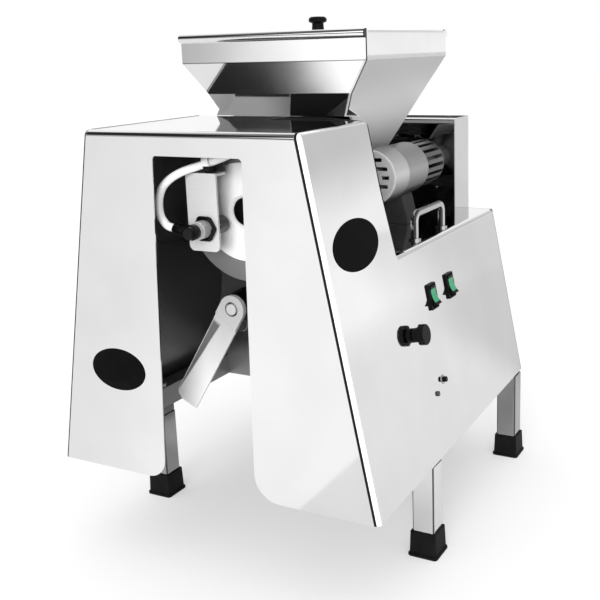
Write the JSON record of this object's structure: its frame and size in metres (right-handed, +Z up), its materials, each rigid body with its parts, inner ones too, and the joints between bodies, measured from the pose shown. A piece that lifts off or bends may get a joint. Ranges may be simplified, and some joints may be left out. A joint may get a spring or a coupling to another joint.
{
  "type": "dough ball machine",
  "caption": "Tabletop dough ball machine: polished steel body on square legs, hopper over a motor-driven auger, outlet nozzle and a rotating cutting knife behind a tall front opening.",
  "frame": {"origin": "centre of the bounding box on the surface the feet stand on", "axes": "+Z up, -Y out of the front opening, +X to the right seen from the front, where the switches are"},
  "size_m": [0.3874, 0.4852, 0.5658],
  "materials": {
    "polished_steel": "mirror polished stainless steel",
    "steel": "machined steel",
    "dark_steel": "dark painted steel",
    "cast": "cast and turned aluminium",
    "outlet_white": "white food-safe plastic",
    "black_plastic": "black moulded plastic",
    "black_rubber": "black rubber",
    "green_plastic": "green translucent plastic",
    "nickel_brass": "nickel-plated brass",
    "white_cable": "white cable jacket",
    "badge_black": "plain black badge"
  },
  "bodies": {
    "machine_body": {"auger_barrel": "cast", "auger_belt": "black_rubber", "auger_switch_frame": "black_plastic", "base_frame": "steel", "body_shell": "polished_steel", "breaker": "black_plastic", "bulkhead": "steel", "case_screws": "steel", "column_cover": "polished_steel", "column_housing": "polished_steel", "feed_screws": "steel", "foot_front_left": "black_rubber", "foot_front_right": "black_rubber", "foot_rear_left": "black_rubber", "foot_rear_right": "black_rubber", "front_badge": "badge_black", "handle_left": "polished_steel", "handle_right": "polished_steel", "hanger_bolts": "steel", "hopper": "polished_steel", "idler_axle": "steel", "knife_gearmotor": "dark_steel", "knife_hanger": "dark_steel", "knife_switch_frame": "black_plastic", "knife_tube": "dark_steel", "lead_clip": "black_plastic", "lead_gland": "black_plastic", "leg_bolts": "steel", "leg_front_left": "polished_steel", "leg_front_right": "polished_steel", "leg_rear_left": "polished_steel", "leg_rear_right": "polished_steel", "motor_belt": "black_rubber", "motor_cradle": "dark_steel", "motor_front_shield": "cast", "motor_rear_shield": "cast", "motor_shell": "cast", "nozzle_ring": "cast", "outlet_disc": "outlet_white", "proximity_sensor": "nickel_brass", "sensor_bracket": "steel", "sensor_lead": "white_cable", "sensor_nuts": "nickel_brass", "sensor_plug": "black_plastic", "side_badge": "badge_black", "speed_pot": "black_plastic"},
    "auger_body": {"auger": "steel", "auger_pulley": "cast"},
    "rotor_body": {"motor_rotor": "steel"},
    "idler_body": {"idler_pulleys": "cast"},
    "knife_body": {"knife_blade": "steel", "knife_holder": "steel", "knife_hub": "dark_steel", "knife_shaft": "steel"},
    "auger_rocker_body": {"auger_rocker": "green_plastic"},
    "knife_rocker_body": {"knife_rocker": "green_plastic"},
    "knob_body": {"speed_knob": "black_plastic"},
    "reset_body": {"reset_button": "black_plastic"},
    "lid_body": {"hopper_lid": "polished_steel", "lid_knob": "black_plastic"}
  },
  "joints": [
    {"name": "auger_spin", "type": "hinge", "parent": "machine_body", "child": "auger_body", "pos_m": [0, 0, 0.3699], "axis": [0, 1, 0], "continuous": true},
    {"name": "idler_spin", "type": "hinge", "parent": "machine_body", "child": "idler_body", "pos_m": [-0.004, 0.2, 0.236], "axis": [0, 1, 0], "continuous": true},
    {"name": "motor_spin", "type": "hinge", "parent": "machine_body", "child": "rotor_body", "pos_m": [0.068, 0.1, 0.387], "axis": [0, 1, 0], "continuous": true},
    {"name": "knife_spin", "type": "hinge", "parent": "machine_body", "child": "knife_body", "pos_m": [-0.0166, -0.15, 0.2674], "axis": [0, 1, 0], "continuous": true},
    {"name": "auger_rocker_tilt", "type": "hinge", "parent": "machine_body", "child": "auger_rocker_body", "pos_m": [0.15557, -0.0377, 0.26641], "axis": [0, 1, 0], "range_deg": [0, 20]},
    {"name": "knife_rocker_tilt", "type": "hinge", "parent": "machine_body", "child": "knife_rocker_body", "pos_m": [0.15557, 0.013, 0.26641], "axis": [0, 1, 0], "range_deg": [0, 20]},
    {"name": "speed_knob_turn", "type": "hinge", "parent": "machine_body", "child": "knob_body", "pos_m": [0.16157, -0.0983, 0.2406], "axis": [0.9818, 0, 0.1897], "range_deg": [-140, 140]},
    {"name": "reset_press", "type": "slide", "parent": "machine_body", "child": "reset_body", "axis": [-0.9818, 0, -0.1897], "range_m": [0, 0.003], "stiffness_N_per_m": 400},
    {"name": "lid_lift", "type": "slide", "parent": "machine_body", "child": "lid_body", "axis": [0, 0, 1], "range_m": [0, 0.1]}
  ],
  "couplings": [
    {"joint": "idler_spin", "follows": "auger_spin", "ratio": 3.375},
    {"joint": "motor_spin", "follows": "auger_spin", "ratio": 14.766}
  ]
}
